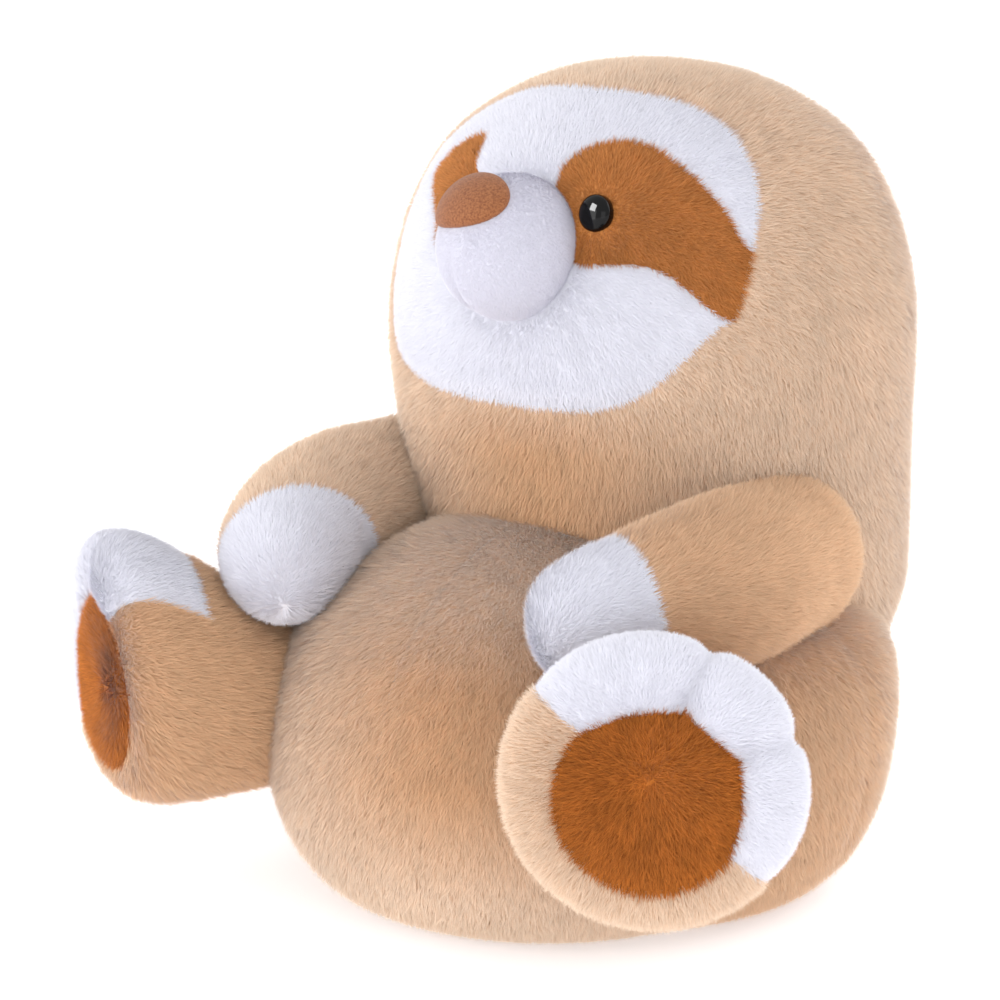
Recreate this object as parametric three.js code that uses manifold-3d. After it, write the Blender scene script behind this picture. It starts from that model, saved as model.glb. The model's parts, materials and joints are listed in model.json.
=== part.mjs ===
// A plush sloth that sits: a squat round belly, an egg-shaped upper body and head in one, two arms that
// reach round the belly and two short splayed legs. Each is a sewn cover over its own stuffing.
// Millimetres, +Z up, the face towards -Y and the animal's left towards +X.

import * as THREE from 'three';
import { mergeVertices } from 'three/addons/utils/BufferGeometryUtils.js';
import Module from 'manifold-3d';

const wasm = await Module();
wasm.setup();

// Cloth and clearances
const clothThickness = 4; // knitted backing with its pile lying over it
const seamGap = 0.3; // between two pieces that touch
const swingClearance = 1.8; // round the ball end of a limb, in its seat in the trunk
const overrun = 20; // how far a cutting shape runs past what it cuts

// Lower body: a wide rump with a round tummy in front of it
const rumpHalfWidth = 118;
const rumpHalfDepth = 106;
const rumpHeight = 119;
const rumpSetBack = 9; // of its axis behind the origin's
const tummyHalfWidth = 100;
const tummyHalfDepth = 92;
const tummyHeight = 140;
const tummyReach = 22; // of its axis in front of the origin's
const basePanelHalfWidth = 76;
const basePanelHalfDepth = 74;

// Upper body and head
const torsoHalfWidth = 99;
const torsoHalfDepth = 91;
const torsoBottomHeight = 46;
const headTopHeight = 300;
const torsoSetBack = 51; // of its axis behind the belly's
const chestSetBack = 13; // of the axis at the waist, behind the axis at the face
const waistHeight = 105;
const shapeTopHeight = 203; // the axis leans back below this height
const sideSeamSetBack = 20;

// Face, its outlines seen from the front
const faceHalfWidth = 77;
const crownBand = 5.5; // of tan between the face and the top of the head
const faceHeight = 109;
const muzzleHeightShare = 0.5183; // of the face's height, up to the muzzle's centre
const eyeHeightShare = 0.6468; // and up to the eyes
const faceTopHeight = headTopHeight - crownBand;
const faceBottomHeight = faceTopHeight - faceHeight;
const chestTopHeight = faceBottomHeight + seamGap;

// Muzzle and nose
const muzzleHalfWidth = 24.5;
const muzzleHalfDepth = 27;
const muzzleHalfHeight = 26;
const muzzleClothThickness = 2.5; // short pile
const muzzleCentreHeight = faceBottomHeight + muzzleHeightShare * faceHeight;
const muzzleReach = 87; // of its centre in front of the torso's axis
const noseHalfWidth = 16;
const noseHalfHeight = 11.5;
const noseThickness = 4;
const noseTilt = 47; // degrees above level

// Eyes
const eyeDiameter = 13;
const eyeDomeHeight = 4.6;
const eyeSeatDepth = 1.2; // of its back face below the cloth's face
const eyeShankDiameter = 4;
const eyeShankLength = 15;
const eyeRidgeHeight = 0.5;
const eyeRidgeCount = 3;
const eyeHalfSpan = 29;
const eyeHeight = faceBottomHeight + eyeHeightShare * faceHeight;
const eyeTurn = 2; // degrees that its axis turns outwards
const eyeRise = 12; // degrees that its axis points up
const washerDiameter = 13;
const washerThickness = 1.6;
const washerDepth = 8; // of its front below the cloth's face

// Arms
const shoulderHalfSpan = 84;
const shoulderSetBack = 12;
const shoulderHeight = 132;
const shoulderRadius = 30;
const armRadius = 30;
const armLength = 119; // pivot to the tip of the paw, along the bend
const pawLength = 36;
const armTurn = 15; // degrees that the upper arm points outwards from the front
const armBend = 60; // degrees from the shoulder to the paw
const armBendTilt = 10; // degrees that the bend goes down, from straight inwards

// Legs
const hipHalfSpan = 86;
const hipReach = 62; // in front of the origin
const hipHeight = 67;
const hipRadius = 33;
const footRadius = 49.5;
const legLength = 74; // pivot to the sole
const legClimb = 22; // of the foot's centre above the hip
const legTurn = 33; // degrees that the leg points outwards from the front
const soleRadius = 31.5;
const soleDrop = 5; // of its centre below the foot's centre
const toeCapLength = 30; // of the white band, back from the sole
const toeCapStartTurn = -40; // degrees round the foot, from the outer side over the top
const toeCapEndTurn = 140; // degrees, the same way round

// Pellet bag
const pelletBagHalfWidth = 55;
const pelletBagHeight = 30;
const pelletBagDepthShare = 0.95; // of its width

// Facets
const trunkSides = 16;
const trunkRings = 6;
const coreSides = 7;
const coreRings = 3;
const limbSides = 10;
const armRings = 2;
const legRings = 3;
const limbCoreSides = 5;
const limbCoreRings = 2;
const ballSides = 10;
const outlineSteps = 18;
const toeCapSteps = 12;
const domeSteps = 3;

// Profiles, as [share of the half width, share of the height] from the bottom to the top
const rumpProfileShares = [
  [0.6, 0], [0.75, 0.035], [0.87, 0.13], [0.95, 0.28], [0.99, 0.46], [1, 0.64],
  [0.96, 0.79], [0.83, 0.9], [0.54, 0.975], [0, 1],
];
const tummyProfileShares = [
  [0.56, 0], [0.73, 0.03], [0.87, 0.11], [0.96, 0.23], [0.995, 0.36], [0.985, 0.5],
  [0.91, 0.65], [0.77, 0.78], [0.56, 0.89], [0.3, 0.97], [0, 1],
];
const pelletBagProfileShares = [[0.7, 0], [0.93, 0.1], [1, 0.35], [0.92, 0.65], [0.65, 0.9], [0, 1]];
const torsoProfileShares = [
  [0, 0], [0.5, 0.03], [0.76, 0.1], [0.89, 0.2], [0.95, 0.33], [0.98, 0.47],
  [1, 0.6], [0.985, 0.69], [0.92, 0.785], [0.8, 0.87], [0.62, 0.935], [0.36, 0.983], [0, 1],
];

// Profiles of the limbs past their ball ends, as [share of the widest radius, share of the length]
const armProfileShares = [
  [0.96, 0.14], [0.99, 0.3], [0.95, 0.5], [0.87, 0.68], [0.79, 0.82], [0.61, 0.93], [0.34, 0.985], [0, 1],
];
const legProfileShares = [
  [0.7, 0.1], [0.8, 0.3], [0.93, 0.54], [1, 0.73], [0.97, 0.87], [0.84, 0.955], [0.64, 0.99], [0, 1],
];

// Outlines on the face seen from the front, as [share of its half width, share of its height]
const faceHalfOutlineShares = [
  [0, 1], [0.22, 0.995], [0.42, 0.975], [0.6, 0.93], [0.75, 0.865], [0.88, 0.765], [0.955, 0.66],
  [0.99, 0.55], [1, 0.43], [0.985, 0.32], [0.925, 0.285], [0.85, 0.21], [0.76, 0.135], [0.66, 0.07],
  [0.53, 0.025], [0.39, 0.005], [0.2, 0], [0, 0],
];
const patchOutlineShares = [
  [0.13, 0.66], [0.14, 0.73], [0.16, 0.79], [0.23, 0.838], [0.35, 0.86], [0.48, 0.845], [0.61, 0.8],
  [0.76, 0.725], [0.88, 0.635], [0.97, 0.54], [1.08, 0.46], [1.08, 0.34], [0.985, 0.31], [0.915, 0.34],
  [0.82, 0.405], [0.7, 0.468], [0.58, 0.488], [0.45, 0.485], [0.33, 0.485], [0.2, 0.53],
];

// Colours
const tanPlush = { color: 0xd8b48c, roughness: 0.95, metalness: 0 };
const whitePlush = { color: 0xeeeef6, roughness: 0.95, metalness: 0 };
const brownPlush = { color: 0xb5702f, roughness: 0.95, metalness: 0 };
const noseSuede = { color: 0xb27a55, roughness: 0.85, metalness: 0 };
const fibrefill = { color: 0xf4f2ec, roughness: 1, metalness: 0 };
const blackPlastic = { color: 0x0c0c0f, roughness: 0.08, metalness: 0 };
const clearPlastic = { color: 0xe6e6e2, roughness: 0.4, metalness: 0 };
const pelletCloth = { color: 0xd9d4c8, roughness: 0.9, metalness: 0 };

const degrees = Math.PI / 180;
const reach = 2 * (headTopHeight + rumpHalfWidth); // past everything

// Solids

function solidOf(geometry) {
  geometry.deleteAttribute('normal');
  geometry.deleteAttribute('uv');
  const merged = mergeVertices(geometry);
  const corners = merged.index.array;
  const faces = [];
  for (let i = 0; i < corners.length; i += 3) {
    const [a, b, c] = corners.slice(i, i + 3);
    if (a !== b && b !== c && c !== a) faces.push(a, b, c);
  }
  return solidOfMesh(merged.attributes.position.array, new Uint32Array(faces));
}

function solidOfMesh(vertProperties, triVerts) {
  return new wasm.Manifold(new wasm.Mesh({ numProp: 3, vertProperties, triVerts }));
}

function geometryOf(solid) {
  const mesh = solid.getMesh();
  const geometry = new THREE.BufferGeometry();
  geometry.setAttribute('position', new THREE.BufferAttribute(mesh.vertProperties, mesh.numProp));
  geometry.setIndex(new THREE.BufferAttribute(mesh.triVerts, 1));
  geometry.computeVertexNormals();
  return geometry;
}

function box(low, high) {
  const size = high.clone().sub(low);
  const middle = low.clone().add(high).divideScalar(2);
  const geometry = new THREE.BoxGeometry(size.x, size.y, size.z);
  return solidOf(geometry.translate(middle.x, middle.y, middle.z));
}

function ellipsoid(halfWidth, halfDepth, halfHeight, placement, sides = ballSides) {
  const geometry = new THREE.SphereGeometry(1, sides, sides / 2);
  geometry.scale(halfWidth, halfDepth, halfHeight);
  return solidOf(geometry.applyMatrix4(placement));
}

function at(x, y, z) {
  return new THREE.Matrix4().makeTranslation(x, y, z);
}

// The profile moved inwards by the inset, its ends kept on the axis
function insetProfile(points, inset) {
  const last = points.length - 1;
  return points.map((point, i) => {
    if (i === 0) return new THREE.Vector2(0, point.y + inset);
    if (i === last) return new THREE.Vector2(0, point.y - inset);
    const along = points[i + 1].clone().sub(points[i - 1]).normalize();
    return point.clone().add(new THREE.Vector2(-along.y, along.x).multiplyScalar(inset));
  });
}

// A profile turned round the z axis
function turned(points, sides) {
  return new THREE.LatheGeometry(points, sides).rotateX(Math.PI / 2);
}

function samples(shares, width, height, rings) {
  const points = shares.map(([radius, rise]) => new THREE.Vector2(radius * width, rise * height));
  return new THREE.SplineCurve(points).getPoints(rings);
}

// Trunk forms

function flatBottomed(shares, halfWidth, halfDepth, height, inset, fine) {
  const side = samples(shares, halfWidth, height, fine ? trunkRings : coreRings);
  const profile = insetProfile([new THREE.Vector2(0, 0), ...side], inset);
  const geometry = turned(profile, fine ? trunkSides : coreSides);
  return geometry.scale(1, halfDepth / halfWidth, 1);
}

function bellyForm(inset, fine = true) {
  const rump = flatBottomed(rumpProfileShares, rumpHalfWidth, rumpHalfDepth, rumpHeight, inset, fine);
  const tummy = flatBottomed(tummyProfileShares, tummyHalfWidth, tummyHalfDepth, tummyHeight, inset, fine);
  return solidOf(rump.translate(0, rumpSetBack, 0)).add(solidOf(tummy.translate(0, -tummyReach, 0)));
}

// Sits flat, so that it opens the stuffing downwards
function pelletBagForm(grow) {
  const rings = coreRings;
  const side = samples(pelletBagProfileShares, pelletBagHalfWidth, pelletBagHeight, rings);
  const profile = insetProfile([new THREE.Vector2(0, 0), ...side], -grow);
  return turned(profile, coreSides).scale(1, pelletBagDepthShare, 1);
}

function torsoGeometry(inset, fine = true) {
  const height = headTopHeight - torsoBottomHeight;
  const side = samples(torsoProfileShares, torsoHalfWidth, height, fine ? trunkRings : coreRings);
  const geometry = turned(insetProfile(side, inset), fine ? trunkSides : coreSides);
  geometry.scale(1, torsoHalfDepth / torsoHalfWidth, 1).translate(0, torsoSetBack, torsoBottomHeight);
  const places = geometry.attributes.position;
  for (let i = 0; i < places.count; i += 1) {
    const drop = Math.max(shapeTopHeight - places.getZ(i), 0) / (shapeTopHeight - waistHeight);
    places.setY(i, places.getY(i) + chestSetBack * Math.min(drop, 1) ** 2);
  }
  return geometry;
}

function torsoForm(inset, fine = true) {
  return solidOf(torsoGeometry(inset, fine));
}

function muzzleForm(inset) {
  const place = at(0, torsoSetBack - muzzleReach, muzzleCentreHeight);
  return ellipsoid(muzzleHalfWidth - inset, muzzleHalfDepth - inset, muzzleHalfHeight - inset, place);
}

// Cutters on the face

function direction(azimuth, elevation) {
  const a = azimuth * degrees;
  const e = elevation * degrees;
  return new THREE.Vector3(Math.sin(a) * Math.cos(e), -Math.cos(a) * Math.cos(e), Math.sin(e));
}

// A prism through an outline of the face, from the torso's axis to the front, grown by a margin
function faceCutter(shares, side, margin) {
  const corners = shares.map(([across, up]) => (
    new THREE.Vector3(side * across * faceHalfWidth, faceBottomHeight + up * faceHeight, 0)
  ));
  const curve = new THREE.CatmullRomCurve3(corners, true);
  const outline = curve.getPoints(outlineSteps).slice(1);
  const grow = margin * Math.sign(THREE.ShapeUtils.area(outline));
  const points = outline.map((point, i) => {
    const along = curve.getTangent((i + 1) / outlineSteps);
    return new THREE.Vector2(point.x + grow * along.y, point.y - grow * along.x);
  });
  const geometry = new THREE.ExtrudeGeometry(new THREE.Shape(points), { depth: reach, bevelEnabled: false });
  return solidOf(geometry.rotateX(Math.PI / 2).translate(0, torsoSetBack, 0));
}

const otherHalf = (shares) => shares.slice(1, -1).reverse().map(([across, up]) => [-across, up]);
const faceOutlineShares = [...faceHalfOutlineShares, ...otherHalf(faceHalfOutlineShares)];

// Halves, with the seam's gap between them

function sideBox(side) {
  const near = seamGap / 2;
  const low = new THREE.Vector3(side > 0 ? near : -reach, -reach, -reach);
  const high = new THREE.Vector3(side > 0 ? reach : -near, reach, reach);
  return box(low, high);
}

function beyond(axis, value, sign) {
  const low = new THREE.Vector3(-reach, -reach, -reach);
  const high = new THREE.Vector3(reach, reach, reach);
  (sign > 0 ? low : high)[axis] = value + sign * (seamGap / 2);
  return box(low, high);
}

// Limbs: placed at a pivot, their axis along local +z

function limbProfile(rootRadius, widest, length, shares, rings) {
  const arc = [];
  for (let i = 0; i <= rings; i += 1) {
    const turn = (i / rings - 1) * (Math.PI / 2);
    arc.push(new THREE.Vector2(rootRadius * Math.cos(turn), rootRadius * Math.sin(turn)));
  }
  const points = shares.map(([radius, rise]) => new THREE.Vector2(radius * widest, rise * length));
  const body = new THREE.SplineCurve([arc[rings], ...points]).getPoints(2 * rings);
  return [...arc, ...body.slice(1)];
}

// The arm's straight form bent inwards and down along an arc, from the pivot on
function bent(geometry, side) {
  const tilt = armBendTilt * degrees;
  const towards = new THREE.Vector2(-side * Math.cos(tilt), -Math.sin(tilt));
  const arcRadius = armLength / (armBend * degrees);
  const places = geometry.attributes.position;
  for (let i = 0; i < places.count; i += 1) {
    const across = new THREE.Vector2(places.getX(i), places.getY(i));
    const along = places.getZ(i);
    if (along > 0) {
      const inwards = across.dot(towards);
      const turn = along / arcRadius;
      const moved = arcRadius - (arcRadius - inwards) * Math.cos(turn);
      across.addScaledVector(towards, moved - inwards);
      places.setXYZ(i, across.x, across.y, (arcRadius - inwards) * Math.sin(turn));
    }
  }
  return geometry;
}

function armForm(side, inset, fine = true) {
  const rings = fine ? armRings : limbCoreRings;
  const profile = limbProfile(shoulderRadius, armRadius, armLength, armProfileShares, rings);
  return solidOf(bent(turned(insetProfile(profile, inset), fine ? limbSides : limbCoreSides), side));
}

// The leg's straight form with its foot pushed up, the sole kept upright
function legForm(inset, fine = true) {
  const rings = fine ? legRings : limbCoreRings;
  const profile = limbProfile(hipRadius, footRadius, legLength, legProfileShares, rings);
  const geometry = turned(insetProfile(profile, inset), fine ? limbSides : limbCoreSides);
  const places = geometry.attributes.position;
  for (let i = 0; i < places.count; i += 1) {
    const share = Math.max(places.getZ(i), 0) / legLength;
    places.setY(i, places.getY(i) + legClimb * share);
  }
  return solidOf(geometry);
}

// Local z along the limb, local x towards the animal's left, local y up
function limbPlacement(side, pivot, azimuth) {
  const turn = side * azimuth * degrees;
  const along = direction(side * azimuth, 0);
  const sideways = new THREE.Vector3(Math.cos(turn), Math.sin(turn), 0);
  const upwards = new THREE.Vector3().crossVectors(along, sideways);
  return new THREE.Matrix4().makeBasis(sideways, upwards, along).setPosition(pivot);
}

function placed(solid, matrix) {
  const geometry = geometryOf(solid).applyMatrix4(matrix);
  return solidOfMesh(geometry.attributes.position.array, geometry.index.array);
}

const shoulder = (side) => new THREE.Vector3(side * shoulderHalfSpan, shoulderSetBack, shoulderHeight);
const hip = (side) => new THREE.Vector3(side * hipHalfSpan, -hipReach, hipHeight);
const armPlacement = (side) => limbPlacement(side, shoulder(side), armTurn);
const legPlacement = (side) => limbPlacement(side, hip(side), legTurn);

// The balls of the four limbs, grown by a clearance and then stretched by a factor
function limbBalls(clearance, stretch) {
  const ball = (centre, radius) => {
    const reached = (radius + clearance) * stretch;
    return ellipsoid(reached, reached, reached, at(...centre.toArray()));
  };
  return [1, -1]
    .map((side) => ball(shoulder(side), shoulderRadius).add(ball(hip(side), hipRadius)))
    .reduce((all, pair) => all.add(pair));
}

// A limb's form, cut where it presses against an obstacle but whole in its seat. An inset form leaves the
// cloth's thickness there too.
function pressed(form, obstacle, inset) {
  return form.subtract(obstacle(seamGap + inset).subtract(limbBalls(swingClearance / 2 - inset, 1)));
}

// Meshes

const root = new THREE.Group();

function node(parent, name, solid, look) {
  const mesh = new THREE.Mesh(geometryOf(solid), new THREE.MeshStandardMaterial(look));
  mesh.name = name;
  parent.add(mesh);
}

// Eyes

function eyePlace(side) {
  const surface = new THREE.Mesh(torsoGeometry(0));
  const outside = new THREE.Vector3(side * eyeHalfSpan, -reach, eyeHeight);
  const [hit] = new THREE.Raycaster(outside, new THREE.Vector3(0, 1, 0)).intersectObject(surface);
  const along = direction(side * eyeTurn, eyeRise);
  const turn = new THREE.Quaternion().setFromUnitVectors(new THREE.Vector3(0, 0, 1), along);
  return new THREE.Matrix4().makeRotationFromQuaternion(turn).setPosition(hit.point);
}

// A glossy dome on a ridged shank. Local z points out of the face, from the cloth's face.
function eye() {
  const seat = -eyeSeatDepth;
  const radius = eyeDiameter / 2;
  const shank = eyeShankDiameter / 2;
  const points = [new THREE.Vector2(0, seat - eyeShankLength)];
  const ridgePitch = eyeShankLength / (2 * eyeRidgeCount + 1);
  for (let i = 0; i < eyeRidgeCount; i += 1) {
    const foot = seat - eyeShankLength + 2 * i * ridgePitch;
    points.push(new THREE.Vector2(shank - eyeRidgeHeight, foot));
    points.push(new THREE.Vector2(shank, foot + ridgePitch));
    points.push(new THREE.Vector2(shank - eyeRidgeHeight, foot + ridgePitch));
  }
  points.push(new THREE.Vector2(shank - eyeRidgeHeight, seat));
  points.push(new THREE.Vector2(radius, seat));
  for (let i = 1; i <= domeSteps; i += 1) {
    const turn = (i / domeSteps) * (Math.PI / 2);
    points.push(new THREE.Vector2(radius * Math.cos(turn), seat + eyeDomeHeight * Math.sin(turn)));
  }
  points[points.length - 1].x = 0;
  return solidOf(turned(points, ballSides));
}

function washer() {
  const front = -washerDepth;
  const hole = eyeShankDiameter / 2 + seamGap;
  const rim = washerDiameter / 2;
  const back = front - washerThickness;
  const points = [[hole, back], [rim, back], [rim, front], [hole, front]];
  const profile = [...points, points[0]].map(([radius, height]) => new THREE.Vector2(radius, height));
  return solidOf(turned(profile, ballSides));
}

function cylinder(radius, low, high) {
  const points = [[0, low], [radius, low], [radius, high], [0, high]];
  return solidOf(turned(points.map(([r, h]) => new THREE.Vector2(r, h)), ballSides));
}

// What the cloth and the stuffing leave free for an eye and its washer
function eyeRoom() {
  const dome = cylinder(eyeDiameter / 2 + seamGap, -eyeSeatDepth - seamGap, overrun);
  const shank = cylinder(eyeShankDiameter / 2 + seamGap, -eyeSeatDepth - eyeShankLength - seamGap, 0);
  const back = -washerDepth - washerThickness - seamGap;
  const disc = cylinder(washerDiameter / 2 + seamGap, back, seamGap - washerDepth);
  return dome.add(shank).add(disc);
}

// Lower body

// The flats of a faceted seat still clear the round part of a limb that turns in it
const seats = limbBalls(swingClearance, 1 / Math.cos(Math.PI / ballSides) ** 2);

function buildLowerBody() {
  const inner = bellyForm(clothThickness, false);
  const shell = bellyForm(0).subtract(inner).subtract(torsoForm(clothThickness, false)).subtract(seats);
  const ovalDisc = (grow) => {
    const disc = cylinder(1, -1, 1);
    const geometry = geometryOf(disc);
    geometry.scale(basePanelHalfWidth + grow, basePanelHalfDepth + grow, 2 * clothThickness);
    return solidOf(geometry);
  };
  const base = shell.intersect(ovalDisc(0));
  const sides = shell.subtract(ovalDisc(seamGap));
  const front = sides.intersect(beyond('y', sideSeamSetBack, -1));
  const back = sides.intersect(beyond('y', sideSeamSetBack, 1));
  for (const [side, word] of [[1, 'left'], [-1, 'right']]) {
    node(root, `belly_${word}`, front.intersect(sideBox(side)), tanPlush);
    node(root, `rump_${word}`, back.intersect(sideBox(side)), tanPlush);
  }
  node(root, 'base_panel', base, tanPlush);
  const bag = (grow) => pelletBagForm(grow).translate(0, 0, clothThickness + seamGap);
  node(root, 'pellet_bag', solidOf(bag(0)), pelletCloth);
  const core = bellyForm(clothThickness + seamGap, false);
  node(root, 'lower_stuffing', core.subtract(solidOf(bag(seamGap))).subtract(seats), fibrefill);
}

// Upper body

function buildUpperBody() {
  const egg = torsoForm(0).subtract(torsoForm(clothThickness, false));
  const shell = egg.subtract(bellyForm(-seamGap)).subtract(seats);
  const tan = shell.subtract(faceCutter(faceOutlineShares, 1, seamGap));
  const chestSpace = beyond('y', sideSeamSetBack, -1).intersect(beyond('z', chestTopHeight, -1));
  const hoodSpace = beyond('y', sideSeamSetBack, 1).add(beyond('z', chestTopHeight, 1));
  const face = shell.intersect(faceCutter(faceOutlineShares, 1, 0)).subtract(muzzleForm(-seamGap));
  const eyes = [1, -1].map((side) => placed(eyeRoom(), eyePlace(side)));
  let white = face;
  for (const [side, word] of [[1, 'left'], [-1, 'right']]) {
    const half = sideBox(side);
    node(root, `hood_${word}`, tan.intersect(hoodSpace).intersect(half), tanPlush);
    node(root, `chest_${word}`, tan.intersect(chestSpace).intersect(half), tanPlush);
    const patch = face.intersect(faceCutter(patchOutlineShares, side, 0)).subtract(eyes[side > 0 ? 0 : 1]);
    white = white.subtract(faceCutter(patchOutlineShares, side, seamGap));
    node(root, `eye_patch_${word}`, patch, brownPlush);
    const place = eyePlace(side);
    node(root, `eye_${word}`, placed(eye(), place), blackPlastic);
    node(root, `eye_washer_${word}`, placed(washer(), place), clearPlastic);
  }
  node(root, 'forehead_panel', white.intersect(beyond('z', muzzleCentreHeight, 1)), whitePlush);
  node(root, 'cheek_panel', white.intersect(beyond('z', muzzleCentreHeight, -1)), whitePlush);

  const muzzleShell = muzzleForm(0).subtract(muzzleForm(muzzleClothThickness));
  node(root, 'muzzle_cover', muzzleShell.subtract(torsoForm(clothThickness, false)), whitePlush);

  const normal = direction(0, noseTilt);
  const turn = new THREE.Quaternion().setFromUnitVectors(new THREE.Vector3(0, 0, 1), normal);
  const centre = new THREE.Vector3(0, normal.y * muzzleHalfDepth, normal.z * muzzleHalfHeight)
    .add(new THREE.Vector3(0, torsoSetBack - muzzleReach, muzzleCentreHeight));
  const place = new THREE.Matrix4().makeRotationFromQuaternion(turn).setPosition(centre);
  const pad = ellipsoid(noseHalfWidth, noseHalfHeight, noseThickness, place);
  node(root, 'nose', pad.subtract(muzzleForm(-seamGap)), noseSuede);

  const core = torsoForm(clothThickness + seamGap, false)
    .add(muzzleForm(muzzleClothThickness + seamGap))
    .subtract(bellyForm(clothThickness, false))
    .subtract(seats)
    .subtract(eyes[0])
    .subtract(eyes[1]);
  node(root, 'upper_stuffing', core, fibrefill);
}

// Limbs

// A limb's group stands at its pivot
function limbGroup(pivot) {
  const group = new THREE.Group();
  group.position.copy(pivot);
  root.add(group);
  return group;
}

function limbNode(group, name, solid, look) {
  const back = group.position.clone().negate();
  node(group, name, placed(solid, at(...back.toArray())), look);
}

const trunkForm = (margin) => bellyForm(-margin).add(torsoForm(-margin));

// Arms

// The bent space round the paw, as a wide drum along the arm's own bend
function pawSpace(side, margin) {
  const low = armLength - pawLength - margin;
  const wide = 2 * armRadius;
  const points = [[0, low], [wide, low], [wide, armLength + overrun], [0, armLength + overrun]];
  return solidOf(bent(turned(points.map(([r, h]) => new THREE.Vector2(r, h)), ballSides), side));
}

function buildArm(side, word) {
  const matrix = armPlacement(side);
  const group = limbGroup(shoulder(side));
  const form = (inset, fine) => pressed(placed(armForm(side, inset, fine), matrix), trunkForm, inset);
  const shell = form(0).subtract(form(clothThickness, false));
  limbNode(group, `arm_${word}_sleeve`, shell.subtract(placed(pawSpace(side, seamGap), matrix)), tanPlush);
  limbNode(group, `arm_${word}_paw`, shell.intersect(placed(pawSpace(side, 0), matrix)), whitePlush);
  limbNode(group, `arm_${word}_stuffing`, form(clothThickness + seamGap, false), fibrefill);
}

// Legs

// The wedge of space that the white toe band takes
function toeWedge(side, margin) {
  const shape = new THREE.Shape();
  shape.moveTo(0, 0);
  const spread = margin / footRadius / degrees;
  const wide = 2 * footRadius;
  const start = toeCapStartTurn - spread;
  const sweep = toeCapEndTurn + spread - start;
  for (let i = 0; i <= toeCapSteps; i += 1) {
    const turn = (start + (i / toeCapSteps) * sweep) * degrees;
    shape.lineTo(side * wide * Math.cos(turn), wide * Math.sin(turn));
  }
  shape.closePath();
  const depth = toeCapLength + overrun + margin;
  const geometry = new THREE.ExtrudeGeometry(shape, { depth, bevelEnabled: false });
  return solidOf(geometry.translate(0, legClimb, legLength - toeCapLength - margin));
}

function buildLeg(side, word) {
  const matrix = legPlacement(side);
  const group = limbGroup(hip(side));
  const arm = (margin) => placed(armForm(side, -margin), armPlacement(side));
  const obstacle = (margin) => trunkForm(margin).add(arm(margin));
  const form = (inset, fine) => pressed(placed(legForm(inset, fine), matrix), obstacle, inset);
  const shell = form(0).subtract(form(clothThickness, false));
  const low = legLength - footRadius / 2;
  const soleSpace = (margin) => {
    const drum = cylinder(soleRadius + margin, low, legLength + overrun);
    return placed(placed(drum, at(0, legClimb - soleDrop, 0)), matrix);
  };
  const band = (margin) => placed(toeWedge(side, margin), matrix);
  const rest = shell.subtract(soleSpace(seamGap));
  limbNode(group, `leg_${word}_sole`, shell.intersect(soleSpace(0)), brownPlush);
  limbNode(group, `leg_${word}_toe_cap`, rest.intersect(band(0)), whitePlush);
  limbNode(group, `leg_${word}_cover`, rest.subtract(band(seamGap)), tanPlush);
  limbNode(group, `leg_${word}_stuffing`, form(clothThickness + seamGap, false), fibrefill);
}

buildLowerBody();
buildUpperBody();
for (const [side, word] of [[1, 'left'], [-1, 'right']]) {
  buildArm(side, word);
  buildLeg(side, word);
}

// The origin lies under the middle of the whole toy
const bounds = new THREE.Box3().setFromObject(root);
const middle = bounds.getCenter(new THREE.Vector3());
root.position.set(-middle.x, -middle.y, -bounds.min.z);

export default root;
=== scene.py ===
import json
from math import ceil, cos, pi, radians, sin, sqrt
import bpy
import numpy as np
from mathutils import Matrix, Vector
from mathutils.bvhtree import BVHTree


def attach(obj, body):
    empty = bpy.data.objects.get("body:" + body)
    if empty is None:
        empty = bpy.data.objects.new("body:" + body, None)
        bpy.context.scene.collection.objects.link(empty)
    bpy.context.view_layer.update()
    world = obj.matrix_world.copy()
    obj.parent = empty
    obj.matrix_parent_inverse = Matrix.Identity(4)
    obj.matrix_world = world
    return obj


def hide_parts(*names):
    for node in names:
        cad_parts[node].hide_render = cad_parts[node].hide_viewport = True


# A sitting plush sloth. Shapes are worked out in millimetres about the part's own origin, then moved to the frame.

print("sloth: loading the frame")
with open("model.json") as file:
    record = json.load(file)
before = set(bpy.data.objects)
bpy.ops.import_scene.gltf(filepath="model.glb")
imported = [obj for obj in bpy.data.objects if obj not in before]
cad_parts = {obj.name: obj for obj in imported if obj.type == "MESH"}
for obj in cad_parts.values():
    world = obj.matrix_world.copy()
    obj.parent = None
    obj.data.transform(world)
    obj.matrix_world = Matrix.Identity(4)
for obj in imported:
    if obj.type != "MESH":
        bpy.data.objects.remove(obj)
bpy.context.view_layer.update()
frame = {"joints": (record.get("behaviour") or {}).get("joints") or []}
signs = {"left": 1, "right": -1}  # of x, the sides being the toy's own
cellSize = 2.4  # mm, across one face of a skin
snapShare = 0.3  # of an edge: a cut that passes this near a vertex moves the vertex onto it


def toLinear(hexColour):
    parts = [int(hexColour[i:i + 2], 16) / 255 for i in (1, 3, 5)]
    return (*[p / 12.92 if p <= 0.04045 else ((p + 0.055) / 1.055) ** 2.4 for p in parts], 1)


def table(heads, rows):
    # a dictionary for each row, by the row's name
    return {name: dict(zip(heads, row)) for name, *row in rows}


def addNode(tree, kind, links=(), **settings):
    # settings are the node's properties, or its inputs by name; links pair an input with a socket or a value
    node = tree.nodes.new(kind)
    for name, value in settings.items():
        if hasattr(node, name):
            setattr(node, name, value)
        else:
            node.inputs[name.replace("_", " ")].default_value = value
    for place, given in links:
        if isinstance(given, bpy.types.NodeSocket):
            tree.links.new(given, node.inputs[place])
        else:
            node.inputs[place].default_value = given
    return node


def columns(*parts):
    return np.stack(parts, axis=1)


def unit(v):
    return v / np.maximum(np.linalg.norm(v, axis=-1, keepdims=True), 1e-9)


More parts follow.
